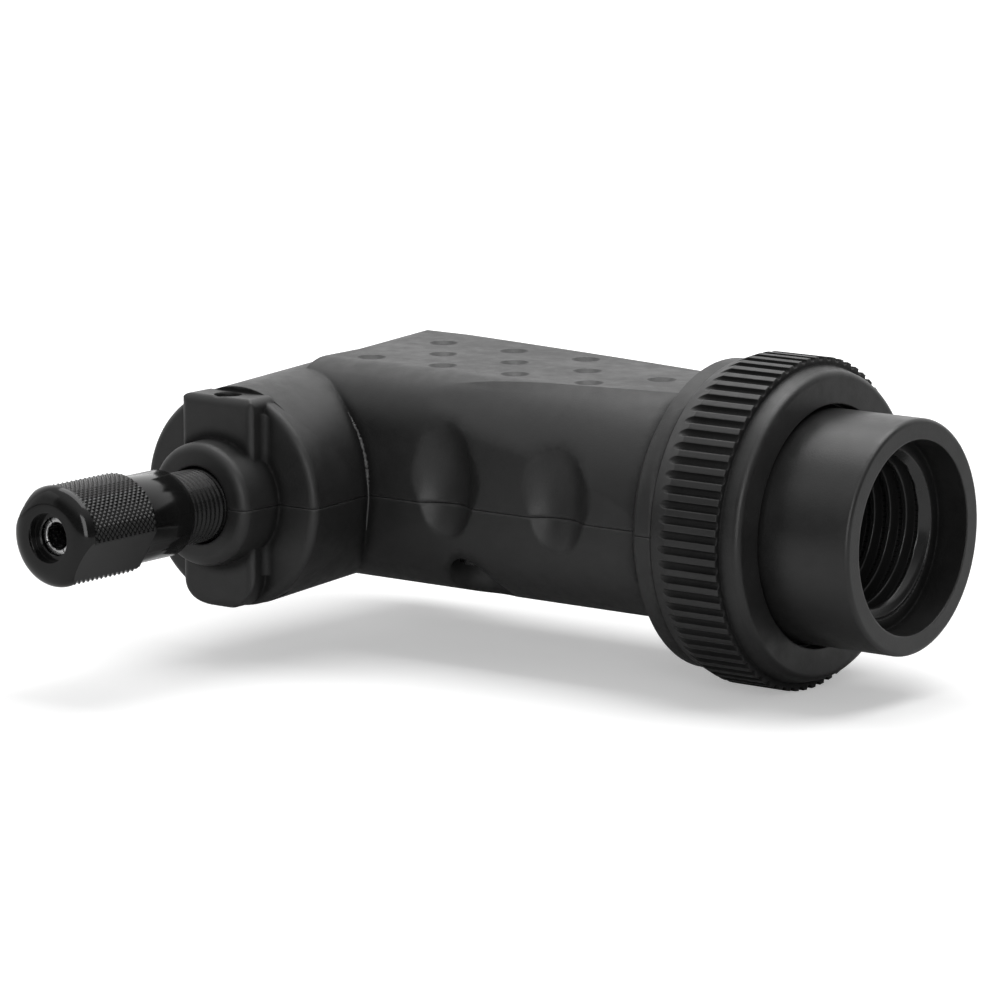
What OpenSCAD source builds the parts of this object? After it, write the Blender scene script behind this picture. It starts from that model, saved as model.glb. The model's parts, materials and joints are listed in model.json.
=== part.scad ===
// Right angle attachment for a hand-held rotary tool.
// Lengths are in millimetres and +Z is up. The origin is the middle of the coupling mouth, +X leaves the
// mouth, and the output spindle points along -Y. Stations along X are counted from the spindle axis and
// stations along the spindle are counted from the input axis.

/* [Layout] */
// Distance from the spindle axis to the coupling mouth
mouth_reach = 75.6; // [75:0.1:77]
// Gap of the parting line between the housing halves
parting_gap = 0.08; // [0.05:0.01:0.15]
// Radial clearance of bearing seats and other snug fits
seat_clear = 0.02; // [0.01:0.005:0.04]
// Radial clearance between parts that turn or slide in each other
run_clear = 0.06; // [0.04:0.01:0.09]
// Space left between parts of different bodies that only pass each other
body_gap = 0.3; // [0.25:0.01:0.32]

/* [Arm of the housing] */
// Half width of the arm
arm_half_width = 15.6; // [15.3:0.1:16]
// Height of the flat top above the input axis
arm_top = 14.3; // [14:0.1:14.6]
// Depth of the underside below the input axis
arm_drop = 11.5; // [11.4:0.1:11.9]
// Rounding of the front top edge
arm_front_round = 6.6; // [5.5:0.1:7.2]
// Rounding of the back top edge
arm_back_round = 2; // [1.8:0.1:3]
// Rounding of both lower edges
arm_low_round = 10.2; // [9.4:0.1:10.6]
// Radius at the spindle axis of the cone that trims the top edges
trim_head_r = 20.2; // [19.8:0.1:20.6]
// Radius at the flare of the cone that trims the top edges
trim_flare_r = 15.5; // [15.3:0.1:15.8]
// Wall of the hollow arm
shell_wall = 2.4; // [2.2:0.1:2.6]
// Thickness of the webs beside the input bearings
web_wall = 2; // [1.8:0.1:2.2]

/* [Finger grooves and dimples] */
// Number of finger grooves
groove_count = 2; // [2:1:2]
// Station of the first finger groove
groove_start = 22.7; // [22.4:0.1:23.4]
// Spacing of the finger grooves
groove_pitch = 15.6; // [15.2:0.1:16]
// Rounding of the bottom of a finger groove along the arm
groove_r = 4.8; // [4.6:0.1:5]
// Rounding of the long edges of a finger groove
groove_edge_r = 4.8; // [4.6:0.1:5]
// Radius of a finger groove from top to bottom
groove_sweep = 14; // [13.6:0.1:14.6]
// Height of the middle of a finger groove above the input axis
groove_middle = 3; // [2.6:0.1:3.4]
// Depth of a finger groove
groove_depth = 2; // [1.7:0.1:2.1]
// Spacing of the dimples along the arm
dimple_pitch = 10.4; // [10.2:0.1:10.6]
// Spacing of the dimple rows
dimple_row = 6.8; // [6.5:0.1:7]
// Station of the first dimple in the outer rows
dimple_start = 5.1; // [4.8:0.1:5.4]
// Radius of the rim of a dimple
dimple_r = 1.7; // [1.5:0.1:1.8]
// Depth of a dimple
dimple_depth = 0.55; // [0.45:0.05:0.65]

/* [Head of the housing] */
// Radius of the rounded sides of the head
head_side_r = 11.4; // [11.2:0.1:11.6]
// Height by which the upper and lower rounds are pulled apart from the axis
head_stretch = 1.2; // [1.1:0.1:1.4]
// Rise of the head toward the outer corner, in degrees
head_tilt = 3; // [2.8:0.1:3.1]
// Radius of the front face
face_r = 12.5; // [12.3:0.1:12.7]
// Station of the front face
face_station = 26.5; // [26.4:0.1:26.7]
// Rounding of the edge of the front face
face_round = 0.9; // [0.7:0.1:1.1]
// Fall of the cone behind the front face below the head's side
face_fall = 0.4; // [0.3:0.05:0.5]
// Station where the cone behind the front face ends
face_cone_end = 10; // [9:0.1:12]
// Half width of the upright post
post_half_width = 5.2; // [5:0.1:5.4]
// Amount the post stands out from the front face
post_stand = 2.3; // [2.2:0.1:2.5]
// Height of the flat top that the post shares with the front face
post_reach = 12; // [11.8:0.1:12.2]
// Depth of the post below the axis
post_low = 12.3; // [12.1:0.1:12.4]
// Rounding of the lower corners of the post
post_low_round = 4; // [3.6:0.1:4.4]
// Rounding of the upright edges and upper corners of the post
post_edge_round = 1; // [0.8:0.1:1.2]
// Rounding of the front edges of the post at its top and bottom
post_crown_round = 1.2; // [1:0.1:1.4]
// Hollow rounding where the post meets the front face
post_root_round = 0.9; // [0.7:0.1:1.1]
// Station of the collar front
collar_station = 32.3; // [32.1:0.1:32.5]
// Radius of the collar at its root
collar_root_r = 7.6; // [7.5:0.1:7.8]
// Radius of the collar at its front
collar_front_r = 7.1; // [7:0.1:7.3]
// Rounding of the collar front
collar_round = 1.2; // [1:0.1:1.4]
// Radius of the hole through the collar
collar_bore_r = 4.5; // [4.4:0.05:4.6]
// Station of the lock pin hole
pin_station = 26.6; // [26.5:0.1:26.7]
// Radius of the lock pin hole
pin_hole_r = 1.65; // [1.6:0.05:1.7]

/* [Flare and threaded spigot] */
// Distance from the coupling mouth back to the front of the flare
flare_setback = 23.1; // [22.9:0.1:23.3]
// Length of the sloping part of the flare
flare_length = 3.4; // [3.2:0.1:3.6]
// Rise of the sloping part of the flare
flare_rise = 4.1; // [4:0.1:4.3]
// Thickness of the flare lip
lip_thick = 2.1; // [2:0.1:2.2]
// Step from the grip ribs of the lock ring down to the flare lip
flare_step = 1.2; // [1.1:0.1:1.3]
// Wall of the spigot that carries the lock ring thread
spigot_wall = 3.8; // [3.7:0.05:3.85]
// Length of the spigot
spigot_length = 6.9; // [6.8:0.1:7]

/* [Lock ring] */
// Wall of the lock ring from its thread to the grip ribs
ring_wall = 2.8; // [2.7:0.05:3]
// Number of grip grooves
rib_count = 70; // [68:1:72]
// Radius of the cutter that makes a grip groove
rib_cut_r = 0.46; // [0.4:0.02:0.5]
// Length of the rear shoulder
ring_rear_slope = 2.5; // [2.4:0.1:2.6]
// Fall of the rear shoulder
ring_rear_fall = 0.9; // [0.8:0.1:1]
// Length of the ribbed band
rib_length = 6.7; // [6.6:0.1:6.8]
// Step at the front end of the ribs
rib_step = 0.55; // [0.5:0.05:0.6]
// Length of the front shoulder
ring_front_slope = 2.2; // [2.1:0.1:2.3]
// Fall of the front shoulder
ring_front_fall = 1.3; // [1.2:0.1:1.4]
// Rounding of the edge of the ring face
ring_face_round = 0.8; // [0.6:0.1:0.9]
// Radial gap between the hole in the ring face and the sleeve
ring_mouth_gap = 0.5; // [0.45:0.05:0.6]
// Thickness of the lip behind the ring face
ring_lip = 1.6; // [1.5:0.1:1.7]
// Thickness of the friction washer
washer_thick = 0.6; // [0.5:0.05:0.6]

/* [Coupling sleeve] */
// Largest radius of the internal thread
thread_r = 9.525; // [9.5:0.025:9.55]
// Length of the internal thread
thread_length = 11; // [10.5:0.1:11.1]
// Step from the thread up to the counterbore
counterbore_step = 1.375; // [1.3:0.025:1.4]
// Depth of the counterbore
counterbore_depth = 3.9; // [3.7:0.1:4.1]
// Wall of the sleeve round the counterbore
sleeve_wall = 2.3; // [2.25:0.05:2.35]
// Rounding of the mouth
mouth_round = 0.5; // [0.4:0.1:0.8]
// Step from the spigot down to the sleeve flange
flange_step = 0.7; // [0.6:0.05:0.8]
// Step from the sleeve down to the pilot that turns in the housing
pilot_step = 1.2; // [1.15:0.05:1.25]
// Length of the pilot
pilot_length = 9.8; // [9.5:0.1:10]
// Step from the thread down to the bore behind it
relief_step = 1.5; // [1.4:0.1:1.6]

/* [Input shaft and bearings] */
// Radius of the input shaft
input_r = 3; // [3:0.1:3]
// Radius of the input bearing outer rings
input_bearing_r = 7.5; // [7.4:0.1:7.5]
// Width of all four bearings
bearing_width = 5; // [4.9:0.1:5]
// Station of the inner input bearing
inner_station = 12.6; // [12.6:0.1:12.8]
// Distance from the outer input bearing to the start of the flare
outer_setback = 5.4; // [5.3:0.1:5.5]
// Distance from the start of the drive tang to the front of the flare
tang_setback = 3.5; // [3.3:0.1:3.7]
// Length of the drive tang
tang_length = 11; // [10.6:0.1:11.2]
// Width across the flats of the drive tang
tang_width = 4.4; // [4.2:0.1:4.6]
// Radius of the spacer tube
spacer_r = 4.4; // [4.3:0.1:4.5]
// Thickness of the retaining rings
clip_thick = 0.6; // [0.5:0.05:0.6]
// Depth of the retaining ring grooves
clip_groove = 0.3; // [0.25:0.05:0.35]
// Radial width of the retaining rings
clip_width = 1.3; // [1.2:0.1:1.4]

/* [Gears] */
// Number of teeth of each bevel gear
teeth = 16; // [16:1:16]
// Pitch radius of each bevel gear at its large end
pitch_r = 7.2; // [7.1:0.1:7.2]
// Pitch radius of each bevel gear at its small end
toe_r = 4.5; // [4.5:0.1:4.7]
// Height of a tooth above the pitch cone as a share of the pitch radius
addendum_share = 0.08; // [0.075:0.005:0.085]
// Depth of a tooth below the pitch cone as a share of the pitch radius
dedendum_share = 0.14; // [0.135:0.005:0.15]
// Share of the tooth spacing filled by a tooth at the pitch cone
tooth_share = 0.4; // [0.38:0.01:0.41]
// Length of the gear body behind the large end
gear_back = 3.2; // [3:0.1:3.3]
// Radius of the gear boss
gear_boss_r = 5; // [4.8:0.1:5.2]
// Radius of the gear chamber
chamber_r = 8.4; // [8.3:0.1:8.6]

/* [Spindle] */
// Radius of the rear journal and gear seat
journal_r = 3; // [3:0.1:3]
// Radius of the front journal and of the nut thread
nose_r = 4; // [3.98:0.01:4.02]
// Station of the spindle shoulder
shoulder_station = 13.4; // [13.2:0.1:13.5]
// Radius of the spindle shoulder
shoulder_r = 5.2; // [5:0.1:5.3]
// Station of the front spindle bearing
front_station = 18.5; // [18.4:0.1:18.6]
// Radius of the front spindle bearing
front_bearing_r = 8; // [7.9:0.1:8.1]
// Station of the rear spindle bearing behind the input axis
rear_station = 7.5; // [7.4:0.1:7.6]
// Radius of the rear spindle bearing
rear_bearing_r = 6.5; // [6.4:0.1:6.6]
// Thickness of the dust washer
dust_thick = 0.8; // [0.7:0.1:0.9]

/* [Collet and nut] */
// Radius of the tool shank the collet takes
shank_r = 1.6; // [1.55:0.05:1.65]
// Radius of the collet body
collet_r = 2.4; // [2.35:0.05:2.45]
// Length of the collet body inside the spindle
collet_grip = 15.8; // [15.4:0.1:16]
// Gap between the spindle nose and the collet head
collet_stand = 0.4; // [0.3:0.05:0.6]
// Length of the collet head
collet_head_length = 4.8; // [4.7:0.1:4.9]
// Largest radius of the collet head
collet_head_r = 3.1; // [3:0.05:3.15]
// Width of the collet slots
collet_slot = 0.5; // [0.4:0.05:0.6]
// Length of spindle thread in sight behind the nut
nut_gap = 5.9; // [5.7:0.1:6.1]
// Length of the nut over the spindle
nut_grip = 12.6; // [12.4:0.1:12.8]
// Radius of the smooth skirt
skirt_r = 4.95; // [4.9:0.05:5]
// Length of the smooth skirt
skirt_length = 7.4; // [7.2:0.1:7.6]
// Radius of the knurled band
knurl_r = 5.7; // [5.6:0.05:5.75]
// Length of the nose in front of the knurled band
nose_length = 4.2; // [4:0.1:4.4]
// Length of the nose beyond the collet face
nose_cover = 1.6; // [1.5:0.1:1.7]
// Depth of the ring recess in the nose
nose_recess = 0.9; // [0.8:0.1:1]
// Radius of the ring recess in the nose
nose_recess_r = 3.3; // [3.25:0.05:3.35]
// Radius of the opening in the nose
nose_opening_r = 2.95; // [2.9:0.05:3]
// Width across the wrench flats
nut_flats = 9.5; // [9.3:0.1:9.7]
// Turn of the wrench flats below +X, in degrees
flat_turn = 38.5; // [35:0.5:42]

/* [Housing screws] */
// Radius of the screw shank
screw_r = 1.3; // [1.25:0.05:1.35]
// Radius of the screw head
screw_head_r = 2.7; // [2.6:0.1:2.8]
// Height of the screw head
screw_head_h = 2; // [1.8:0.1:2.1]
// Length of the screw shank
screw_length = 12; // [11.5:0.1:12]
// Radius of the screw recess
recess_r = 3.9; // [3.8:0.1:4]
// Height of the recess floor below the parting plane
recess_floor = 5; // [4.8:0.1:5.2]
// Wall of the screw bosses in the hollow arm
boss_wall = 1; // [0.9:0.1:1.1]
// Distance of the arm screws to the side of the input axis
screw_side = 10.5; // [10.3:0.1:10.6]
// Station of the front screw
screw_station = 24.2; // [24:0.1:24.6]
// Distance from the last screw to the start of the flare
screw_setback = 8.8; // [8.6:0.1:9]
// Station of the corner screw
corner_station = 8.4; // [8.2:0.1:8.6]
// Distance of the corner screw to the side of the input axis
corner_side = 11.3; // [11.2:0.1:11.4]

/* [Small details] */
// Ball radius as a share of the height between the bearing rings
ball_share = 0.27; // [0.26:0.005:0.28]
// Number of balls in each input bearing
input_ball_count = 8; // [7:1:8]
// Number of balls in the front spindle bearing
front_ball_count = 9; // [8:1:9]
// Number of balls in the rear spindle bearing
rear_ball_count = 8; // [7:1:8]
// Opening of the retaining rings
clip_open = 2.6; // [2.2:0.1:3]
// Tooth width at its tip as a share of its width at the pitch cone
tooth_tip_share = 0.55; // [0.5:0.01:0.58]
// Tooth width at its root as a share of its width at the pitch cone
tooth_root_share = 1.4; // [1.35:0.01:1.45]
// Chamfer at the mouth of the collet socket
socket_chamfer = 0.4; // [0.3:0.05:0.5]
// Length of the collet behind its slots
slot_land = 4; // [3.6:0.1:4.6]
// Length of the slope behind the collet head
collet_head_slope = 0.7; // [0.6:0.05:0.8]
// Radius of the collet face
collet_face_r = 2.6; // [2.55:0.05:2.65]
// Rounding between the nose and its face
nose_round = 1.7; // [1.6:0.05:1.8]
// Fall of the nose from the knurled band to its rounding
nose_fall = 0.7; // [0.6:0.05:0.8]
// Chamfer at the rear edge of the knurled band
knurl_chamfer = 0.4; // [0.3:0.05:0.5]
// Depth of the nut thread beyond the spindle nose
nut_spare = 0.8; // [0.7:0.05:0.9]

/* [Hidden] */
$fn = 64;
over = 1;
flare_front = mouth_reach - flare_setback;
flare_lip = flare_front - lip_thick;
flare_start = flare_lip - flare_length;
spigot_end = flare_front + spigot_length;
outer_station = flare_start - outer_setback;
tang_start = flare_front - tang_setback;
counterbore_r = thread_r + counterbore_step;
sleeve_r = counterbore_r + sleeve_wall;
relief_r = thread_r - relief_step;
pilot_r = sleeve_r - pilot_step;
pilot_bore_r = pilot_r + run_clear;
spigot_r = pilot_bore_r + spigot_wall;
flange_r = spigot_r - flange_step;
ring_thread_r = spigot_r + run_clear;
ring_r = ring_thread_r + ring_wall;
ring_mouth_r = sleeve_r + ring_mouth_gap;
flare_r = ring_r - flare_step;
flare_root_r = flare_r - flare_rise;
ring_rear = flare_front + body_gap;
rib_start = ring_rear + ring_rear_slope;
rib_end = rib_start + rib_length;
ring_face = rib_end + ring_front_slope;
ring_lip_rear = ring_face - ring_lip;
washer_front = ring_lip_rear - body_gap;
washer_rear = washer_front - washer_thick;
flange_rear = spigot_end + body_gap;
flange_front = washer_rear - body_gap;
thread_front = mouth_reach - counterbore_depth;
thread_rear = thread_front - thread_length;
pilot_rear = flange_rear - pilot_length;
pilot_bore_rear = pilot_rear - body_gap * 2;
inner_end = inner_station + bearing_width;
outer_end = outer_station + bearing_width;
hollow_start = inner_end + web_wall;
hollow_end = outer_station - web_wall;
clip_r = input_r - clip_groove;
clip_play = 0.1;
input_clip = outer_end + clip_play;
rear_clip = rear_station + bearing_width + clip_play;
rear_end = rear_clip + clip_thick + clip_groove * 3;
input_start = toe_r + body_gap;
nut_rear = collar_station + nut_gap;
nose_station = nut_rear + nut_grip;
nut_seat = nose_station + nut_spare;
collet_rear = nose_station - collet_grip;
collet_head = nose_station + collet_stand;
collet_face = collet_head + collet_head_length;
slot_rear = collet_rear + slot_land;
nut_nose = collet_face + nose_cover;
knurl_rear = nut_rear + skirt_length;
knurl_front = nut_nose - nose_length;
nose_shoulder_r = knurl_r - nose_fall;
front_end = front_station + bearing_width;
passage_r = (input_r + input_bearing_r) / 2;
gear_rear = pitch_r + gear_back;
gear_root_r = pitch_r * (1 - dedendum_share);
post_front = face_station + post_stand;
post_rear = face_station - face_round - over;
boss_r = recess_r + boss_wall;
blend_ease = 0.15;
groove_wheel_side = groove_depth - arm_half_width - groove_sweep;
middle_screw = (corner_station + flare_start - screw_setback) / 2;
socket_r = collet_r + run_clear;
nut_thread_r = nose_r + run_clear;
colour_plastic = [0.13, 0.13, 0.14];
colour_dark_steel = [0.2, 0.2, 0.22];
colour_steel = [0.68, 0.69, 0.7];
colour_felt = [0.35, 0.33, 0.3];

// Placing and basic round shapes

module placed() {
    translate([-mouth_reach, 0, 0])
        children();
}

module facing_x(x) {
    translate([x, 0, 0])
        rotate([0, 90, 0])
            children();
}

module facing_out(s) {
    translate([0, -s, 0])
        rotate([90, 0, 0])
            children();
}

module rod_x(x_from, x_to, r) {
    facing_x(x_from)
        cylinder(h = x_to - x_from, r = r);
}

module cone_x(x_from, x_to, r_from, r_to) {
    facing_x(x_from)
        cylinder(h = x_to - x_from, r1 = r_from, r2 = r_to);
}

module rod_out(s_from, s_to, r) {
    facing_out(s_from)
        cylinder(h = s_to - s_from, r = r);
}

module cone_out(s_from, s_to, r_from, r_to) {
    facing_out(s_from)
        cylinder(h = s_to - s_from, r1 = r_from, r2 = r_to);
}

module tube(length, r_out, r_in) {
    difference() {
        cylinder(h = length, r = r_out);
        translate([0, 0, -over])
            cylinder(h = length + over * 2, r = r_in);
    }
}

// Round bar that stands on Z = 0 and narrows to a rounded front edge

module rounded_cone(length, r_root, r_front, round) {
    rotate_extrude() {
        polygon([
            [0, 0], [r_root, 0], [r_front, length - round],
            [r_front - round, length], [0, length]
        ]);
        translate([r_front - round, length - round])
            circle(r = round);
    }
}

// Outline of the arm across its length, drawn inward by an even amount

module arm_outline(inset) {
    side = arm_half_width - inset;
    top = arm_top - inset;
    low = arm_drop - inset;
    front = arm_front_round - inset;
    back = max(arm_back_round - inset, inset / 2);
    under = arm_low_round - inset;
    polygon([
        [front - side, top], [side - back, top],
        [side, top - back], [side, under - low],
        [side - under, -low], [under - side, -low],
        [-side, under - low], [-side, top - front]
    ]);
    translate([front - side, top - front])
        circle(r = front);
    translate([side - back, top - back])
        circle(r = back);
    for (way = [-1, 1])
        translate([way * (side - under), under - low])
            circle(r = under);
}

module arm_bar(x_from, x_to, inset) {
    translate([x_from, 0, 0])
        rotate([90, 0, 90])
            linear_extrude(height = x_to - x_from)
                arm_outline(inset);
}

module arm_trim(inset) {
    cone_x(0, flare_lip, trim_head_r - inset, trim_flare_r - inset);
}

module arm_form() {
    intersection() {
        arm_bar(0, flare_lip, 0);
        arm_trim(0);
    }
}

// A finger groove is cut by a wheel that lies along the arm. Its rim is round and flares out to the side
// of the arm. Grown by the wall, the same wheel keeps the hollow inside away from the groove.

module groove_rim(grow) {
    reach = groove_r + groove_edge_r;
    tip_middle = groove_sweep - groove_r;
    rise = reach - groove_depth - blend_ease;
    half = sqrt(reach * reach - rise * rise);
    blend = (groove_r + grow) / reach;
    edge = groove_edge_r - grow;
    foot = tip_middle + rise - edge;
    difference() {
        union() {
            translate([tip_middle, 0])
                circle(r = groove_r + grow);
            polygon([
                [foot - over, -half], [foot, -half],
                [tip_middle + rise * blend, -half * blend], [tip_middle + rise * blend, half * blend],
                [foot, half], [foot - over, half]
            ]);
        }
        for (way = [-1, 1])
            translate([tip_middle + rise, way * half])
                circle(r = edge);
    }
}

module finger_grooves(grow) {
    for (i = [0 : groove_count - 1])
        translate([groove_start + i * groove_pitch, groove_wheel_side, groove_middle])
            rotate([0, 90, 0])
                rotate_extrude()
                    groove_rim(grow);
}

// Dents in three staggered rows on the flat top

module dimple(x, y) {
    ball_r = (dimple_r * dimple_r + dimple_depth * dimple_depth) / (dimple_depth * 2);
    translate([x, y, arm_top + ball_r - dimple_depth])
        sphere(r = ball_r);
}

module dimples() {
    for (i = [0 : 3]) {
        dimple(dimple_start + i * dimple_pitch, -dimple_row);
        dimple(dimple_start + (i + 0.5) * dimple_pitch, 0);
    }
    for (i = [0 : 2])
        dimple(dimple_start + i * dimple_pitch, dimple_row);
}

// Head of the housing round the spindle

module head_outline() {
    for (way = [-1, 1])
        translate([0, way * head_stretch])
            circle(r = head_side_r);
    square([head_side_r * 2, head_stretch * 2], center = true);
}

module head_limits(barrel_front) {
    reach = head_side_r + over;
    arm_bar(-reach, reach, 0);
    translate([-reach, -barrel_front, -arm_top])
        cube([reach * 2, barrel_front + arm_half_width, arm_top]);
    translate([-reach, -barrel_front, -arm_top])
        cube([reach * 2, barrel_front, arm_top * 2]);
}

module head_barrel() {
    barrel_front = face_station - face_round - over;
    intersection() {
        translate([0, -barrel_front, 0])
            rotate([head_tilt - 90, 0, 0])
                linear_extrude(height = barrel_front + arm_half_width + over * 2)
                    head_outline();
        head_limits(barrel_front);
    }
}

module head_face() {
    intersection() {
        facing_out(face_cone_end)
            rounded_cone(face_station - face_cone_end, head_side_r - face_fall, face_r, face_round);
        translate([-face_r - over, -face_station - over, post_reach - (face_r + over) * 2])
            cube([(face_r + over) * 2, face_station, (face_r + over) * 2]);
    }
}

// The post is a bar that is rounded as seen from the front, from above and from the side

module post_outline() {
    side = post_half_width;
    low = post_low_round;
    edge = post_edge_round;
    polygon([
        [edge - side, post_reach], [side - edge, post_reach],
        [side, post_reach - edge], [side, low - post_low],
        [side - low, -post_low], [low - side, -post_low],
        [-side, low - post_low], [-side, post_reach - edge]
    ]);
    for (way = [-1, 1]) {
        translate([way * (side - low), low - post_low])
            circle(r = low);
        translate([way * (side - edge), post_reach - edge])
            circle(r = edge);
    }
}

module post_plan() {
    side = post_half_width + blend_ease;
    edge = post_edge_round;
    polygon([
        [-side, -post_rear], [-side, edge - post_front],
        [edge - side, -post_front], [side - edge, -post_front],
        [side, edge - post_front], [side, -post_rear]
    ]);
    for (way = [-1, 1])
        translate([way * (side - edge), edge - post_front])
            circle(r = edge);
}

module post_profile() {
    high = post_reach + blend_ease;
    low = -post_low - blend_ease;
    round = post_crown_round;
    polygon([
        [-post_rear, high], [round - post_front, high],
        [-post_front, high - round], [-post_front, low + round],
        [round - post_front, low], [-post_rear, low]
    ]);
    for (middle = [high - round, low + round])
        translate([round - post_front, middle])
            circle(r = round);
}

module post() {
    half = post_half_width + over;
    intersection() {
        facing_out(post_rear)
            linear_extrude(height = post_front - post_rear)
                post_outline();
        translate([0, 0, -post_low - over])
            linear_extrude(height = post_low + post_reach + over * 2)
                post_plan();
        translate([-half, 0, 0])
            rotate([90, 0, 90])
                linear_extrude(height = half * 2)
                    post_profile();
    }
}

module post_roots() {
    reach = post_half_width + post_root_round;
    root_front = -face_station - post_root_round;
    low = post_low_round - post_low;
    intersection() {
        translate([0, 0, low])
            linear_extrude(height = post_reach - post_edge_round - low)
                difference() {
                    translate([-reach, root_front])
                        square([reach * 2, post_root_round + over]);
                    for (way = [-1, 1])
                        translate([way * reach, root_front])
                            circle(r = post_root_round);
                }
        rod_out(face_station - over * 2, post_front, face_r - face_round);
    }
}

module collar() {
    facing_out(front_station)
        rounded_cone(collar_station - front_station, collar_root_r, collar_front_r, collar_round);
}

module flare() {
    cone_x(flare_start, flare_lip, flare_root_r, flare_r);
    rod_x(flare_lip, flare_front, flare_r);
    rod_x(flare_lip, spigot_end, spigot_r);
}

module housing_form() {
    difference() {
        arm_form();
        finger_grooves(0);
    }
    head_barrel();
    head_face();
    post();
    post_roots();
    collar();
    flare();
}

// Screw places

module at_screws() {
    translate([screw_station, -screw_side, 0])
        children();
    for (x = [middle_screw, flare_start - screw_setback])
        translate([x, screw_side, 0])
            children();
    translate([corner_station, corner_side, 0])
        children();
}

module screw_cuts() {
    at_screws() {
        translate([0, 0, -arm_drop - over])
            cylinder(h = arm_drop + over - recess_floor, r = recess_r);
        translate([0, 0, -recess_floor - over])
            cylinder(h = screw_length + over * 2, r = screw_r + seat_clear);
    }
}

// Hollow inside of the housing

module arm_hollow() {
    difference() {
        intersection() {
            arm_bar(hollow_start, hollow_end, shell_wall);
            arm_trim(shell_wall);
        }
        at_screws()
            translate([0, 0, -arm_top])
                cylinder(h = arm_top * 2, r = boss_r);
        finger_grooves(shell_wall);
    }
}

module drive_spaces() {
    rod_x(0, gear_rear + body_gap * 2, chamber_r);
    rod_out(-rear_station + body_gap, front_station - web_wall, chamber_r);
    rod_x(0, pilot_bore_rear + over, passage_r);
    for (x = [inner_station, outer_station])
        rod_x(x, x + bearing_width, input_bearing_r + seat_clear);
    rod_x(pilot_bore_rear, spigot_end + over, pilot_bore_r);
    rod_out(-rear_end - body_gap, 0, (journal_r + rear_bearing_r) / 2);
    rod_out(-rear_station - bearing_width, -rear_station + over, rear_bearing_r + seat_clear);
    rod_out(0, front_end, (shoulder_r + front_bearing_r) / 2);
    rod_out(front_station, front_end + dust_thick, front_bearing_r + seat_clear);
    rod_out(0, collar_station + over, collar_bore_r);
}

module pin_hole() {
    translate([0, -pin_station, 0])
        cylinder(h = post_reach + over, r = pin_hole_r);
}

module housing_half(upper) {
    plate = mouth_reach + arm_half_width;
    shift = upper ? parting_gap / 2 : -plate - parting_gap / 2;
    intersection() {
        difference() {
            housing_form();
            arm_hollow();
            drive_spaces();
            screw_cuts();
            pin_hole();
            dimples();
        }
        translate([-plate / 2, -plate / 2, shift])
            cube([plate * 3 / 2, plate, plate]);
    }
}

module housing_upper() {
    color(colour_plastic)
        placed()
            housing_half(true);
}

module housing_lower() {
    color(colour_plastic)
        placed()
            housing_half(false);
}

module housing_screws() {
    color(colour_steel)
        placed()
            at_screws() {
                translate([0, 0, -recess_floor])
                    cylinder(h = screw_length, r = screw_r);
                translate([0, 0, -recess_floor - screw_head_h])
                    difference() {
                        cylinder(h = screw_head_h, r = screw_head_r);
                        translate([0, 0, -over])
                            cylinder(h = over + screw_head_h / 2, r = screw_r, $fn = 6);
                    }
            }
}

// Lock ring and coupling

module grip_outline() {
    difference() {
        circle(r = ring_r);
        for (i = [0 : rib_count - 1])
            rotate([0, 0, i * 360 / rib_count])
                translate([ring_r, 0])
                    circle(r = rib_cut_r);
    }
}

module ring_grip() {
    grip_length = rib_end - ring_rear;
    rear_r = ring_r - ring_rear_fall;
    intersection() {
        facing_x(ring_rear)
            linear_extrude(height = grip_length)
                grip_outline();
        cone_x(ring_rear, rib_end, rear_r, rear_r + grip_length * ring_rear_fall / ring_rear_slope);
    }
}

module ring_front() {
    facing_x(rib_end - over)
        rounded_cone(ring_front_slope + over, ring_r - rib_step, ring_r - ring_front_fall, ring_face_round);
}

module lock_ring() {
    color(colour_plastic)
        placed()
            difference() {
                union() {
                    ring_grip();
                    ring_front();
                }
                rod_x(ring_rear - over, ring_lip_rear, ring_thread_r);
                rod_x(ring_rear, ring_face + over, ring_mouth_r);
            }
}

module friction_washer() {
    color(colour_steel)
        placed()
            facing_x(washer_rear)
                tube(washer_thick, ring_thread_r - body_gap, sleeve_r + body_gap);
}

module coupling_sleeve() {
    color(colour_plastic)
        placed()
            difference() {
                union() {
                    rod_x(pilot_rear, flange_rear + over, pilot_r);
                    rod_x(flange_rear, flange_front, flange_r);
                    facing_x(flange_rear)
                        rounded_cone(mouth_reach - flange_rear, sleeve_r, sleeve_r, mouth_round);
                }
                rod_x(thread_front, mouth_reach + over, counterbore_r);
                rod_x(thread_rear, mouth_reach, thread_r);
                rod_x(pilot_rear - over, mouth_reach, relief_r);
            }
}

// Bearings: plain rings with a round groove, and the balls between them

function race_mid(r_in, r_out) = (r_in + r_out) / 2;
function ball_size(r_in, r_out) = (r_out - r_in) * ball_share;

module ball_track(r_in, r_out) {
    rotate_extrude()
        translate([race_mid(r_in, r_out), bearing_width / 2])
            circle(r = ball_size(r_in, r_out) + run_clear);
}

module inner_race(r_in, r_out) {
    land = race_mid(r_in, r_out) - ball_size(r_in, r_out) / 2;
    difference() {
        tube(bearing_width, land, r_in + seat_clear / 2);
        ball_track(r_in, r_out);
    }
}

module outer_race(r_in, r_out) {
    land = race_mid(r_in, r_out) + ball_size(r_in, r_out) / 2;
    difference() {
        tube(bearing_width, r_out, land);
        ball_track(r_in, r_out);
    }
}

module ball_set(r_in, r_out, count) {
    for (i = [0 : count - 1])
        rotate([0, 0, i * 360 / count])
            translate([race_mid(r_in, r_out), 0, bearing_width / 2])
                sphere(r = ball_size(r_in, r_out), $fn = 24);
}

// Input side: bearing a is next to the gear, bearing b next to the coupling

module input_inner_race_a() {
    color(colour_steel)
        placed()
            facing_x(inner_station)
                inner_race(input_r, input_bearing_r);
}

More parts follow.
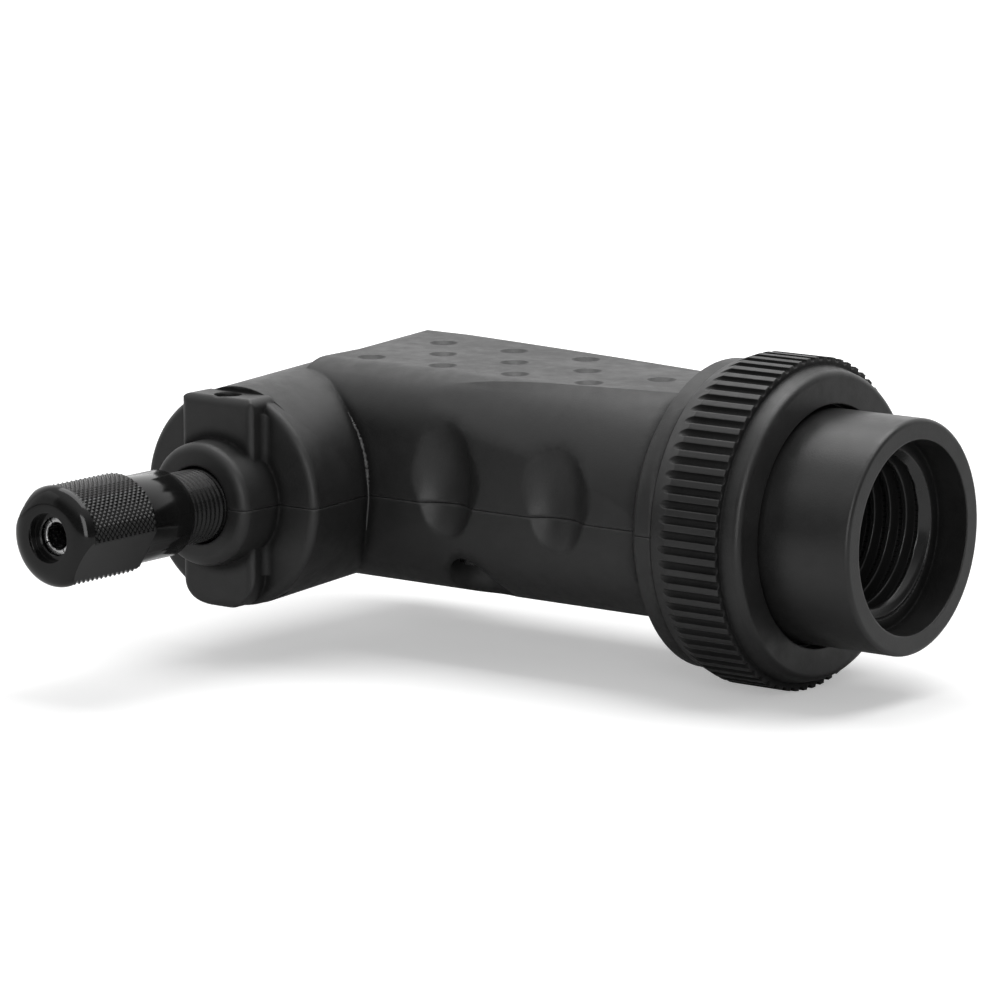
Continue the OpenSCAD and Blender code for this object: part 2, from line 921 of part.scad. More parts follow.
module input_outer_race_a() {
    color(colour_steel)
        placed()
            facing_x(inner_station)
                outer_race(input_r, input_bearing_r);
}

module input_balls_a() {
    color(colour_steel)
        placed()
            facing_x(inner_station)
                ball_set(input_r, input_bearing_r, input_ball_count);
}

module input_inner_race_b() {
    color(colour_steel)
        placed()
            facing_x(outer_station)
                inner_race(input_r, input_bearing_r);
}

module input_outer_race_b() {
    color(colour_steel)
        placed()
            facing_x(outer_station)
                outer_race(input_r, input_bearing_r);
}

module input_balls_b() {
    color(colour_steel)
        placed()
            facing_x(outer_station)
                ball_set(input_r, input_bearing_r, input_ball_count);
}

module input_shaft() {
    color(colour_dark_steel)
        placed()
            difference() {
                union() {
                    rod_x(input_start, tang_start, input_r);
                    intersection() {
                        translate([tang_start - over, -tang_width / 2, -tang_width / 2])
                            cube([tang_length + over, tang_width, tang_width]);
                        rod_x(tang_start - over, tang_start + tang_length, input_r);
                    }
                }
                facing_x(input_clip)
                    tube(clip_thick, input_r + over, clip_r);
            }
}

module input_spacer() {
    color(colour_steel)
        placed()
            facing_x(inner_end + seat_clear)
                tube(outer_station - inner_end - seat_clear * 2, spacer_r, input_r + seat_clear);
}

// Retaining ring: an open ring that sits in a groove

module clip_form() {
    difference() {
        tube(clip_thick, clip_r + clip_width, clip_r + seat_clear);
        translate([0, -clip_open / 2, -over])
            cube([clip_r + clip_width + over, clip_open, clip_thick + over * 2]);
    }
}

module input_clip() {
    color(colour_dark_steel)
        placed()
            facing_x(input_clip)
                clip_form();
}

// Straight bevel gear with its cone tip at the crossing of the axes: it stands on its large end and
// narrows toward +Z

function tooth_side(r, way, width) = [
    r * cos(way * width / 2),
    r * sin(way * width / 2)
];

module gear_outline() {
    spacing = 360 / teeth;
    width = spacing * tooth_share;
    tip = pitch_r * (1 + addendum_share);
    foot = gear_root_r - addendum_share;
    circle(r = gear_root_r);
    for (i = [0 : teeth - 1])
        rotate([0, 0, i * spacing])
            polygon([
                tooth_side(foot, -1, width * tooth_root_share),
                tooth_side(pitch_r, -1, width),
                tooth_side(tip, -1, width * tooth_tip_share),
                tooth_side(tip, 1, width * tooth_tip_share),
                tooth_side(pitch_r, 1, width),
                tooth_side(foot, 1, width * tooth_root_share)
            ]);
}

module bevel_gear(boss_length, boss_r, bore_r) {
    difference() {
        union() {
            linear_extrude(height = pitch_r - toe_r, scale = toe_r / pitch_r)
                gear_outline();
            translate([0, 0, -gear_back])
                cylinder(h = gear_back, r1 = gear_boss_r, r2 = gear_root_r);
            translate([0, 0, -boss_length])
                cylinder(h = boss_length, r = boss_r);
        }
        translate([0, 0, -boss_length - over])
            cylinder(h = boss_length + pitch_r + over, r = bore_r + seat_clear / 2);
    }
}

module input_gear() {
    color(colour_dark_steel)
        placed()
            translate([pitch_r, 0, 0])
                rotate([0, -90, 0])
                    bevel_gear(inner_station - pitch_r - seat_clear, spacer_r, input_r);
}

module spindle_gear() {
    color(colour_dark_steel)
        placed()
            translate([0, -pitch_r, 0])
                rotate([-90, 0, 0])
                    rotate([0, 0, 180 / teeth])
                        bevel_gear(shoulder_station - pitch_r - seat_clear, gear_boss_r, journal_r);
}

// Spindle side: bearing a is at the collar, bearing b behind the input axis

module spindle_inner_race_a() {
    color(colour_steel)
        placed()
            facing_out(front_station)
                inner_race(nose_r, front_bearing_r);
}

module spindle_outer_race_a() {
    color(colour_steel)
        placed()
            facing_out(front_station)
                outer_race(nose_r, front_bearing_r);
}

module spindle_balls_a() {
    color(colour_steel)
        placed()
            facing_out(front_station)
                ball_set(nose_r, front_bearing_r, front_ball_count);
}

module spindle_inner_race_b() {
    color(colour_steel)
        placed()
            facing_out(-rear_station - bearing_width)
                inner_race(journal_r, rear_bearing_r);
}

module spindle_outer_race_b() {
    color(colour_steel)
        placed()
            facing_out(-rear_station - bearing_width)
                outer_race(journal_r, rear_bearing_r);
}

module spindle_balls_b() {
    color(colour_steel)
        placed()
            facing_out(-rear_station - bearing_width)
                ball_set(journal_r, rear_bearing_r, rear_ball_count);
}

module spindle() {
    color(colour_dark_steel)
        placed()
            difference() {
                union() {
                    rod_out(-rear_end, shoulder_station + over, journal_r);
                    rod_out(shoulder_station, front_station, shoulder_r);
                    rod_out(shoulder_station, nose_station, nose_r);
                }
                facing_out(-rear_clip - clip_thick)
                    tube(clip_thick, journal_r + over, clip_r);
                rod_out(collet_rear - body_gap, nose_station + over, socket_r);
                cone_out(nose_station - socket_chamfer, nose_station, socket_r, socket_r + socket_chamfer);
                translate([0, -pin_station, -nose_r - over])
                    cylinder(h = (nose_r + over) * 2, r = pin_hole_r);
            }
}

module spindle_clip() {
    color(colour_dark_steel)
        placed()
            facing_out(-rear_clip - clip_thick)
                clip_form();
}

module dust_washer() {
    color(colour_felt)
        placed()
            facing_out(front_end + seat_clear)
                tube(dust_thick - seat_clear * 2, front_bearing_r, nose_r + run_clear);
}

// Collet with four slots, and the nut that closes it

module collet() {
    head_full = collet_head + collet_head_slope;
    color(colour_steel)
        placed()
            difference() {
                union() {
                    rod_out(collet_rear, collet_head, collet_r);
                    cone_out(collet_head, head_full, collet_r, collet_head_r);
                    cone_out(head_full, collet_face, collet_head_r, collet_face_r);
                }
                rod_out(collet_rear - over, collet_face + over, shank_r);
                for (turn = [0, 90])
                    rotate([0, turn, 0])
                        translate([-collet_slot / 2, -collet_face - over, -collet_head_r - over])
                            cube([collet_slot, collet_face + over - slot_rear, (collet_head_r + over) * 2]);
            }
}

module nut_body() {
    rod_out(nut_rear, knurl_rear + over, skirt_r);
    cone_out(knurl_rear, knurl_rear + knurl_chamfer, knurl_r - knurl_chamfer, knurl_r);
    rod_out(knurl_rear + knurl_chamfer, knurl_front, knurl_r);
    facing_out(knurl_front)
        rounded_cone(nut_nose - knurl_front, knurl_r, nose_shoulder_r, nose_round);
}

module nut_flat_cuts() {
    for (turn = [0, 180])
        rotate([0, flat_turn + turn, 0])
            translate([nut_flats / 2, -nut_nose - over, -knurl_r - over])
                cube([knurl_r, nut_nose + over - knurl_rear, (knurl_r + over) * 2]);
}

module collet_nut() {
    recess_station = nut_nose - nose_recess;
    color(colour_dark_steel)
        placed()
            difference() {
                nut_body();
                nut_flat_cuts();
                rod_out(nut_rear - over, nut_seat, nut_thread_r);
                cone_out(nut_seat, recess_station, collet_head_r + body_gap, nose_opening_r);
                rod_out(recess_station - over, nut_nose + over, nose_opening_r);
                rod_out(recess_station, nut_nose + over, nose_recess_r);
            }
}

housing_upper();
housing_lower();
housing_screws();
lock_ring();
friction_washer();
coupling_sleeve();
input_shaft();
input_gear();
input_spacer();
input_clip();
input_inner_race_a();
input_outer_race_a();
input_balls_a();
input_inner_race_b();
input_outer_race_b();
input_balls_b();
spindle();
spindle_gear();
spindle_clip();
dust_washer();
spindle_inner_race_a();
spindle_outer_race_a();
spindle_balls_a();
spindle_inner_race_b();
spindle_outer_race_b();
spindle_balls_b();
collet();
collet_nut();
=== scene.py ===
import json
import math
import random

import bmesh
import bpy
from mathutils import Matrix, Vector


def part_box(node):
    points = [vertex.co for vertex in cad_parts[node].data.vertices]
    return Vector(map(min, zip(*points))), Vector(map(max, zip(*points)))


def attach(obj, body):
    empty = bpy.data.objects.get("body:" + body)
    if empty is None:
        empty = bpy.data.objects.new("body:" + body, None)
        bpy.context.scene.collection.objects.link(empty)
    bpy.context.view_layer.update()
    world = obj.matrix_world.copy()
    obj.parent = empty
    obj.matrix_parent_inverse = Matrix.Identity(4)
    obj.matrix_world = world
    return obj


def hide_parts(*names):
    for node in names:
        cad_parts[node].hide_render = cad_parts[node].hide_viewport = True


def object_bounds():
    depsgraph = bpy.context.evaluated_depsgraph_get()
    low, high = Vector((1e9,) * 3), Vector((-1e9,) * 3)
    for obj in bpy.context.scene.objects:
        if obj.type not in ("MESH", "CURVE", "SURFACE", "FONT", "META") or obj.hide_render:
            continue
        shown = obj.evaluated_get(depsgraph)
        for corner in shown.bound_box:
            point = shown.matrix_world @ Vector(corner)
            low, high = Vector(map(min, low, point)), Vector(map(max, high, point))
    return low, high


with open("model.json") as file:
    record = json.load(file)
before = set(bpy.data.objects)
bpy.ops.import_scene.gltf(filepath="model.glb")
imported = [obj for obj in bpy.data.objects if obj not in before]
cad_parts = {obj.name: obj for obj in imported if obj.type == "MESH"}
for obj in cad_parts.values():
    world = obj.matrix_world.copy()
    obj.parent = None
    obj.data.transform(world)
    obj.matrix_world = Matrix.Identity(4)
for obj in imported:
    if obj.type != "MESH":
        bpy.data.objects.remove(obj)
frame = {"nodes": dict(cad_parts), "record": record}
cad_low, cad_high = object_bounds()

MM = 0.001

# Axes of the two shafts. Stations along them are in millimetres from their crossing.

nut_low, nut_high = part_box("collet_nut")
_, sleeve_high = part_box("coupling_sleeve")
CROSSING = Vector(((nut_low.x + nut_high.x) / 2, 0, 0))
INPUT_WAY = Vector((1, 0, 0))
OUTPUT_WAY = Vector((0, -1, 0))
UP = Vector((0, 0, 1))
MOUTH = (sleeve_high.x - CROSSING.x) / MM
NUT_REAR = -nut_high.y / MM
NUT_NOSE = -nut_low.y / MM
NUT_R = (nut_high.x - nut_low.x) / 2 / MM


# Camera at the photograph's viewing angle, with distances in metres and the lens in millimetres

VIEW_TURN = math.radians(37.2)
VIEW_RISE = math.radians(10.3)
VIEW_DISTANCE = 0.660
VIEW_ASIDE = 0.0148
VIEW_DOWN = 0.0040
VIEW_LENS = 201.8
SENSOR = 36.0


def make_camera():
    back = Vector((
        math.sin(VIEW_TURN) * math.cos(VIEW_RISE),
        -math.cos(VIEW_TURN) * math.cos(VIEW_RISE),
        math.sin(VIEW_RISE),
    ))
    right = Vector((math.cos(VIEW_TURN), math.sin(VIEW_TURN), 0))
    up = back.cross(right)
    data = bpy.data.cameras.new("photo_camera")
    data.lens = VIEW_LENS
    data.sensor_width = SENSOR
    camera = bpy.data.objects.new("photo_camera", data)
    bpy.context.scene.collection.objects.link(camera)
    camera.rotation_mode = "QUATERNION"
    camera.rotation_quaternion = (-back).to_track_quat("-Z", "Y")
    camera.location = CROSSING + back * VIEW_DISTANCE + right * VIEW_ASIDE - up * VIEW_DOWN
    bpy.context.scene.camera = camera


# Small helpers for node trees

def new_material(name):
    """Node material, with its tree and its shader."""
    material = bpy.data.materials.new(name)
    material.use_nodes = True
    tree = material.node_tree
    return material, tree, tree.nodes["Principled BSDF"]


def calculated(tree, operation, first, second):
    """Math node of two sockets or numbers."""
    node = tree.nodes.new("ShaderNodeMath")
    node.operation = operation
    for place, value in enumerate((first, second)):
        if isinstance(value, (int, float)):
            node.inputs[place].default_value = value
        else:
            tree.links.new(value, node.inputs[place])
    return node.outputs[0]


def mapped(tree, value, start, end, low, high):
    """Value between start and end turned into a smooth step from low to high."""
    node = tree.nodes.new("ShaderNodeMapRange")
    node.interpolation_type = "SMOOTHSTEP"
    tree.links.new(value, node.inputs["Value"])
    for name, number in (("From Min", start), ("From Max", end), ("To Min", low), ("To Max", high)):
        node.inputs[name].default_value = number
    return node.outputs["Result"]


def noise(tree, scale, detail=4.0, roughness=0.6, stretch=None):
    """Noise in the part's own space, with scale in waves per metre and a stretch along each axis."""
    place = tree.nodes.new("ShaderNodeTexCoord")
    texture = tree.nodes.new("ShaderNodeTexNoise")
    texture.inputs["Scale"].default_value = scale
    texture.inputs["Detail"].default_value = detail
    texture.inputs["Roughness"].default_value = roughness
    if stretch is None:
        tree.links.new(place.outputs["Object"], texture.inputs["Vector"])
    else:
        mapping = tree.nodes.new("ShaderNodeMapping")
        mapping.inputs["Scale"].default_value = stretch
        tree.links.new(place.outputs["Object"], mapping.inputs["Vector"])
        tree.links.new(mapping.outputs["Vector"], texture.inputs["Vector"])
    return texture.outputs["Fac"]


def ramp(tree, value, low, high, start=0.3, end=0.7):
    """Value turned into a colour between low and high."""
    node = tree.nodes.new("ShaderNodeValToRGB")
    tree.links.new(value, node.inputs["Fac"])
    for stop, place, tone in zip(node.color_ramp.elements, (start, end), (low, high)):
        stop.position = place
        stop.color = (*tone, 1)
    return node.outputs["Color"]


def grey(tone):
    return (tone, tone, tone)


def bump(tree, shader, height, depth, strength, normal):
    """Relief of depth millimetres on top of the rounded normal."""
    node = tree.nodes.new("ShaderNodeBump")
    node.inputs["Distance"].default_value = depth * MM
    node.inputs["Strength"].default_value = strength
    tree.links.new(height, node.inputs["Height"])
    tree.links.new(normal, node.inputs["Normal"])
    tree.links.new(node.outputs["Normal"], shader.inputs["Normal"])


# Rounded edges, in millimetres. The arm's stations run from the crossing, and the top's are heights.

ROUNDING_SAMPLES = 6
HEAD_ROUND = 0.45
ARM_ROUND = 2.8
WALL_ROUND = 0.6
WALL_GAIN = 0.03
CRISP_ROUND = 0.12
ARM_FROM = 13
ARM_FULL = 18
TOP_FROM = 13.2
TOP_FULL = 13.8


def rounded_normal(tree, radius):
    """Normal that runs smoothly over the edges, as on a moulded or tumbled part."""
    node = tree.nodes.new("ShaderNodeBevel")
    node.samples = ROUNDING_SAMPLES
    if isinstance(radius, (int, float)):
        node.inputs["Radius"].default_value = radius * MM
    else:
        tree.links.new(calculated(tree, "MULTIPLY", radius, MM), node.inputs["Radius"])
    return node.outputs["Normal"]


def part_place(tree):
    """Coordinates of a point in the part's own space, in metres."""
    place = tree.nodes.new("ShaderNodeTexCoord")
    parts = tree.nodes.new("ShaderNodeSeparateXYZ")
    tree.links.new(place.outputs["Object"], parts.inputs[0])
    return parts.outputs


def housing_radius(tree):
    """Edge rounding of the housing: soft on the sides of the arm, fine on the head and crisp on top.

    It stays less than the wall, which is thinnest at mid height.
    """
    x, _, z = part_place(tree)
    wall = calculated(tree, "MULTIPLY", calculated(tree, "MULTIPLY", z, z), WALL_GAIN / MM / MM)
    side = calculated(tree, "MINIMUM", calculated(tree, "ADD", wall, WALL_ROUND), ARM_ROUND)
    on_arm = mapped(tree, x, CROSSING.x + ARM_FROM * MM, CROSSING.x + ARM_FULL * MM, 0.0, 1.0)
    below_top = mapped(tree, z, TOP_FROM * MM, TOP_FULL * MM, 1.0, 0.0)
    arm = calculated(tree, "MULTIPLY", side, on_arm)
    soft = calculated(tree, "MULTIPLY", calculated(tree, "MAXIMUM", arm, HEAD_ROUND), below_top)
    return calculated(tree, "MAXIMUM", soft, CRISP_ROUND)


# Painted shade in hollows, grooves and corners, by less specular reflection there, and worn edges

RECESS_SAMPLES = 8
RECESS_REACH = 1.6
RECESS_DEEP = 0.7
# Specular level in the painted shade of hollows, and in the open
SHADED_SPECULAR = 0.05
OPEN_SPECULAR = 0.5
EDGE_START = 0.995
EDGE_FULL = 0.93
WEAR_SCALE = 900
WEAR_START = 0.35
WEAR_FULL = 0.65


def painted_shade_mask(tree, reach):
    """1 in the open and less in hollows, grooves and corners up to reach millimetres wide, which sets
    where shade is painted.
    """
    node = tree.nodes.new("ShaderNodeAmbientOcclusion")
    node.samples = RECESS_SAMPLES
    node.only_local = True
    node.inputs["Distance"].default_value = reach * MM
    return node.outputs["AO"]


def edge_mask(tree, normal):
    """1 close to an edge and 0 on the open surface, from how far the rounded normal leans."""
    geometry = tree.nodes.new("ShaderNodeNewGeometry")
    lean = tree.nodes.new("ShaderNodeVectorMath")
    lean.operation = "DOT_PRODUCT"
    tree.links.new(normal, lean.inputs[0])
    tree.links.new(geometry.outputs["Normal"], lean.inputs[1])
    return mapped(tree, lean.outputs["Value"], EDGE_START, EDGE_FULL, 0.0, 1.0)


def worn_edges(tree, shader, base, worn, normal, amount):
    """Lighter colour on the edges, broken up by noise."""
    patches = mapped(tree, noise(tree, WEAR_SCALE), WEAR_START, WEAR_FULL, 0.0, amount)
    mix = tree.nodes.new("ShaderNodeMix")
    mix.data_type = "RGBA"
    tree.links.new(calculated(tree, "MULTIPLY", edge_mask(tree, normal), patches), mix.inputs["Factor"])
    tree.links.new(base, mix.inputs["A"])
    mix.inputs["B"].default_value = (*worn, 1)
    tree.links.new(mix.outputs["Result"], shader.inputs["Base Color"])


# Plastics, with noise scales in waves per metre and depths in millimetres

PLASTIC_TONE_SCALE = 140
PLASTIC_WEAR = 0.55
PLASTIC_WORN_TONE = 2.4
FLOW_SCALE = 90
FLOW_STRETCH = (0.35, 1, 1)
SMUDGE_SCALE = 520
SHEEN_START = 0.7
SHEEN_FULL = 1.3
GRAIN_DEPTH = 0.04


def plastic(name, tones, rough, grain, edge_round=None, grain_strength=0.4):
    """Moulded glass-filled plastic: fine grain, faint flow marks, an uneven sheen and painted shade in
    hollows.
    """
    material, tree, shader = new_material(name)
    dark, light = tones
    normal = rounded_normal(tree, edge_round or housing_radius(tree))
    tone = ramp(tree, noise(tree, PLASTIC_TONE_SCALE, detail=5), grey(dark), grey(light))
    worn_edges(tree, shader, tone, grey(light * PLASTIC_WORN_TONE), normal, PLASTIC_WEAR)
    flow = noise(tree, FLOW_SCALE, detail=6, roughness=0.62, stretch=FLOW_STRETCH)
    smudge = noise(tree, SMUDGE_SCALE, detail=6)
    sheen = mapped(tree, calculated(tree, "ADD", flow, smudge), SHEEN_START, SHEEN_FULL, *rough)
    tree.links.new(sheen, shader.inputs["Roughness"])
    # Painted shade: the specular level drops in hollows, grooves and corners so that they look darker,
    # as if shaded.
    painted_shade_specular = mapped(tree, painted_shade_mask(tree, RECESS_REACH), RECESS_DEEP, 1.0, SHADED_SPECULAR, OPEN_SPECULAR)
    tree.links.new(painted_shade_specular, shader.inputs["Specular IOR Level"])
    relief = noise(tree, grain, detail=5, roughness=0.65)
    bump(tree, shader, relief, GRAIN_DEPTH, grain_strength, normal)
    return material


def housing_plastic():
    return plastic("housing_plastic", tones=(0.011, 0.016), rough=(0.4, 0.54), grain=5200)


def ring_plastic():
    return plastic("ring_plastic", tones=(0.009, 0.015), rough=(0.36, 0.52), grain=4600, edge_round=0.25)


def sleeve_plastic():
    return plastic("sleeve_plastic", tones=(0.010, 0.015), rough=(0.3, 0.42), grain=4200, edge_round=0.3)


def thread_plastic():
    """Plastic of the coupling's thread, polished by the nose that screws into it."""
    return plastic(
        "thread_plastic", tones=(0.012, 0.018), rough=(0.16, 0.24), grain=3000, edge_round=0.1,
        grain_strength=0.05,
    )


def flash_painted_highlight():
    """Torn plastic of the moulding flash, paler than the housing: partly its own tone, partly a painted
    highlight of the bright line along the crease.
    """
    return plastic("flash_painted_highlight", tones=(0.05, 0.13), rough=(0.35, 0.5), grain=6000, edge_round=0.05)


# Metals, with noise scales in waves per metre and depths in millimetres

METAL_TONE_SCALE = 300
METAL_WEAR = 0.5
METAL_WORN_TONE = 1.8
LINE_SCALE = 2600
LINE_DEPTH = 0.01
LINE_START = 0.3
LINE_FULL = 0.7
EVEN = (1, 1, 1)
LINES_ALONG_X = (0.05, 1, 1)
LINES_ALONG_Y = (1, 0.05, 1)


def metal(name, tones, rough, stretch=EVEN, metallic=1.0, lines=0.25, edge_round=0.15):
    """Turned or ground metal with fine lines along one direction, as strong as lines says."""
    material, tree, shader = new_material(name)
    dark, light = tones
    normal = rounded_normal(tree, edge_round)
    streaks = noise(tree, LINE_SCALE, stretch=stretch)
    tone = ramp(tree, noise(tree, METAL_TONE_SCALE, detail=5), grey(dark), grey(light))
    worn_edges(tree, shader, tone, grey(min(1.0, light * METAL_WORN_TONE)), normal, METAL_WEAR)
    sheen = mapped(tree, streaks, LINE_START, LINE_FULL, *rough)
    tree.links.new(sheen, shader.inputs["Roughness"])
    bump(tree, shader, streaks, LINE_DEPTH, lines, normal)
    shader.inputs["Metallic"].default_value = metallic
    return material


def zinc_steel():
    return metal("zinc_steel", tones=(0.45, 0.62), rough=(0.22, 0.4))


def shaft_steel():
    return metal("shaft_steel", tones=(0.4, 0.52), rough=(0.2, 0.35), stretch=LINES_ALONG_X)


def gear_steel():
    return metal("gear_steel", tones=(0.3, 0.42), rough=(0.3, 0.45))


def spring_steel():
    return metal("spring_steel", tones=(0.03, 0.06), rough=(0.35, 0.5))


def bearing_steel():
    return metal("bearing_steel", tones=(0.5, 0.62), rough=(0.15, 0.3))


def ball_steel():
    return metal("ball_steel", tones=(0.7, 0.78), rough=(0.05, 0.1))


def collet_steel():
    return metal("collet_steel", tones=(0.5, 0.62), rough=(0.16, 0.3))


def black_oxide():
    """Dark oxide layer of the spindle, which lets some of the steel show."""
    return metal(
        "black_oxide", tones=(0.012, 0.022), rough=(0.22, 0.38), stretch=LINES_ALONG_Y, metallic=0.6,
    )


def nut_black():
    """Polished black finish of the collet nut."""
    return metal(
        "nut_black", tones=(0.008, 0.012), rough=(0.09, 0.15), stretch=LINES_ALONG_Y, metallic=0.4,
        lines=0.02, edge_round=0.06,
    )


# Felt of the dust washer

FELT_DARK = (0.2, 0.18, 0.15)
FELT_LIGHT = (0.4, 0.37, 0.32)
FELT_FIBRE_SCALE = 2500
FELT_PILE_SCALE = 4000
FELT_PILE_DEPTH = 0.08
FELT_PILE_STRENGTH = 0.8
FELT_ROUGH = 0.95
FELT_ROUND = 0.1


def felt_fibre():
    material, tree, shader = new_material("felt_fibre")
    fibres = noise(tree, FELT_FIBRE_SCALE, detail=8)
    tree.links.new(ramp(tree, fibres, FELT_DARK, FELT_LIGHT), shader.inputs["Base Color"])
    shader.inputs["Roughness"].default_value = FELT_ROUGH
    pile = noise(tree, FELT_PILE_SCALE, detail=8)
    bump(tree, shader, pile, FELT_PILE_DEPTH, FELT_PILE_STRENGTH, rounded_normal(tree, FELT_ROUND))
    return material


MATERIALS = {
    "housing": housing_plastic(),
    "ring_plastic": ring_plastic(),
    "sleeve_plastic": sleeve_plastic(),
    "zinc_steel": zinc_steel(),
    "shaft_steel": shaft_steel(),
    "gear_steel": gear_steel(),
    "spring_steel": spring_steel(),
    "bearing_steel": bearing_steel(),
    "ball_steel": ball_steel(),
    "black_oxide": black_oxide(),
    "nut_black": nut_black(),
    "collet_steel": collet_steel(),
    "felt": felt_fibre(),
}


def dress_parts():
    for row in frame["record"]["subparts"]:
        part = frame["nodes"][row["node"]]
        part.data.materials.clear()
        part.data.materials.append(MATERIALS[row["material_slot"]])


# Making of the scene's own pieces. Edges that fold by more than the sharp angle stay sharp.

THREAD_SHARP = math.radians(75)
METAL_SHARP = math.radians(32)
FLASH_SHARP = math.radians(60)


def finished(mesh, name, slot_name, body, sharp_angle, material=None):
    """Mesh turned into a smooth piece that keeps its sharp edges and rides on a body."""
    bmesh.ops.recalc_face_normals(mesh, faces=mesh.faces)
    for face in mesh.faces:
        face.smooth = True
    for edge in mesh.edges:
        edge.smooth = edge.calc_face_angle(0) < sharp_angle
    data = bpy.data.meshes.new(name)
    mesh.to_mesh(data)
    mesh.free()
    piece = bpy.data.objects.new(name, data)
    bpy.context.scene.collection.objects.link(piece)
    data.materials.append(material or MATERIALS[slot_name])
    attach(piece, body)
    return piece


def bridged(mesh, loops, closed):
    """Faces between each loop of points and the next."""
    pairs = zip(loops, loops[1:] + loops[:1]) if closed else zip(loops, loops[1:])
    for here, there in pairs:
        for point in range(len(here)):
            after = (point + 1) % len(here)
            mesh.faces.new((here[point], here[after], there[after], there[point]))


def capped(mesh, loops):
    """Open tube of loops with a face on each end."""
    bridged(mesh, loops, False)
    mesh.faces.new(loops[0])
    mesh.faces.new(loops[-1])


def spoke(way, angle):
    """Unit vector square to a shaft, at an angle round it."""
    return UP.cross(way) * math.cos(angle) + UP * math.sin(angle)


def on_shaft(way, station, arm, radius):
    """Point at a station of a shaft and a radius along the unit vector arm."""
    return CROSSING + (way * station + arm * radius) * MM


def turned(way, outer, outer_stations, inner, inner_stations, around):
    """Closed tube round a shaft: outer(station, angle) and inner(station, angle) give its radii."""
    mesh = bmesh.new()
    angles = [step * math.tau / around for step in range(around)]

    def ring(station, radius):
        return [
            mesh.verts.new(on_shaft(way, station, spoke(way, angle), radius(station, angle)))
            for angle in angles
        ]

    loops = [ring(station, outer) for station in outer_stations]
    loops += [ring(station, inner) for station in reversed(inner_stations)]
    bridged(mesh, loops, True)
    return mesh


def span(start, end, count):
    """Count + 1 even places from start to end."""
    return [start + (end - start) * step / count for step in range(count + 1)]


def blend(value):
    """Smooth step from 0 to 1."""
    share = min(1.0, max(0.0, value))
    return share * share * (3 - 2 * share)


def thread_height(station, angle, pitch, crest_share, flank_share):
    """Height of a right-hand thread from 0 in its root to 1 on its crest."""
    away = abs((station / pitch - angle / math.tau) % 1 - 0.5) * 2
    return blend((crest_share + flank_share - away) / flank_share)


# Thread inside the coupling, for a 3/4 inch nose with 12 turns to the inch

COUPLING_PITCH = 25.4 / 12
COUPLING_MAJOR = 9.525
COUPLING_MINOR = 8.38
COUPLING_CREST = 0.22
COUPLING_FLANK = 0.5
COUPLING_STEPS = 132
COUPLING_AROUND = 144
COUNTERBORE_DEPTH = 3.9
COUPLING_THREAD_LENGTH = 11
SEATING = 0.06


def coupling_thread():
    front = MOUTH - COUNTERBORE_DEPTH
    rear = front - COUPLING_THREAD_LENGTH
    depth = COUPLING_MAJOR - COUPLING_MINOR
    outer_r = COUPLING_MAJOR + SEATING

    def outer(station, angle):
        return outer_r

    def inner(station, angle):
        height = thread_height(station, angle, COUPLING_PITCH, COUPLING_CREST, COUPLING_FLANK)
        lead = COUPLING_MAJOR - min(front - station, station - rear)
        return max(COUPLING_MAJOR - depth * height, lead)

    stations = span(rear, front, COUPLING_STEPS)
    mesh = turned(INPUT_WAY, outer, (rear, front), inner, stations, COUPLING_AROUND)
    finished(mesh, "coupling_thread", "sleeve_plastic", "coupling", THREAD_SHARP, thread_plastic())


# Thread on the spindle between the collar and the nut

SPINDLE_R = 4.0
SPINDLE_PITCH = 0.75
SPINDLE_THREAD_REAR = 29.5
SPINDLE_THREAD_DEPTH = 0.2
SPINDLE_CREST = 0.2
SPINDLE_FLANK = 0.7
SPINDLE_STEPS = 96
SPINDLE_AROUND = 96


def spindle_thread():
    front = NUT_REAR - SEATING

    def outer(station, angle):
        fade = blend(min(station - SPINDLE_THREAD_REAR, front - station) / SPINDLE_PITCH)
        height = thread_height(station, angle, SPINDLE_PITCH, SPINDLE_CREST, SPINDLE_FLANK)
        return SPINDLE_R + SPINDLE_THREAD_DEPTH * fade * height

    def inner(station, angle):
        return SPINDLE_R - SEATING

    ends = (SPINDLE_THREAD_REAR, front)
    mesh = turned(OUTPUT_WAY, outer, span(*ends, SPINDLE_STEPS), inner, ends, SPINDLE_AROUND)
    finished(mesh, "spindle_thread", "black_oxide", "output", THREAD_SHARP)


# Collet nut: smooth skirt, diamond knurl, two wrench flats and a rounded polished nose

SKIRT_R = 4.95
KNURL_REAR = 45.6
KNURL_FRONT = 56.0
KNURL_CHAMFER = 0.4
KNURL_DEPTH = 0.2
KNURL_ROUND = 48
KNURL_ALONG = 14
KNURL_STEPS = 6
FLAT_DISTANCE = 4.9
FLAT_TURN = math.radians(-31)
NOSE_FALL = 2.3
NOSE_STEPS = 20
NUT_THREAD_R = 4.06
NUT_SEAT = 51.6
SEAT_R = 3.4
LIP_REAR = 56.15
LIP_FRONT = 56.5
LIP_R = 2.15
RECESS_R = 2.8
STEP = 0.01


def diamond(station, angle):
    """Height of the knurl from 0 in the crossing grooves to 1 on the points."""
    along = (station - KNURL_REAR) / (KNURL_FRONT - KNURL_REAR) * KNURL_ALONG
    around = angle / math.tau * KNURL_ROUND
    ridges = [1 - abs((around + slant * along) % 1 - 0.5) * 2 for slant in (1, -1)]
    return min(ridges)


def skirt_radius(station):
    return SKIRT_R - blend((NUT_REAR + KNURL_CHAMFER - station) / KNURL_CHAMFER) * KNURL_CHAMFER / 2


